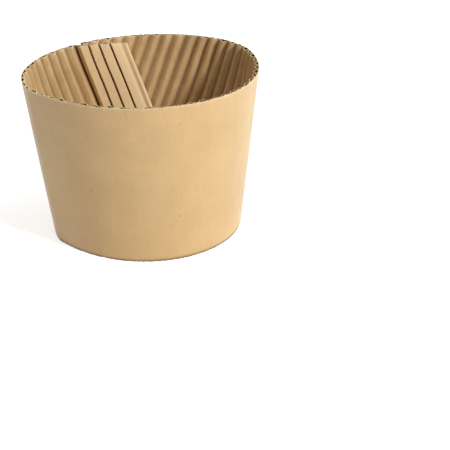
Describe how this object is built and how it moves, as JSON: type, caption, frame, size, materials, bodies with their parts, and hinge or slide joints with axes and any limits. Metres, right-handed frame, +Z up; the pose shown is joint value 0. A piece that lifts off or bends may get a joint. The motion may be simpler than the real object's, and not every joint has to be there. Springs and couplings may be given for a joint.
{
  "type": "coffee cup sleeve",
  "caption": "Tapered corrugated kraft sleeve that slips over a hot paper cup, smooth outside and fluted inside, glued at one lapped seam.",
  "frame": {"origin": "centre of the bounding box on the plane that the lower rim stands on", "axes": "+X along the line between the two flat-pack creases, +Y towards the back panel with the glued seam, +Z up towards the wider rim"},
  "size_m": [0.091, 0.0858, 0.0622],
  "materials": {
    "kraft_board": "matt uncoated kraft paper, smooth liner outside and bare flutes inside"
  },
  "bodies": {
    "root": {"sleeve": "kraft_board"}
  },
  "joints": []
}
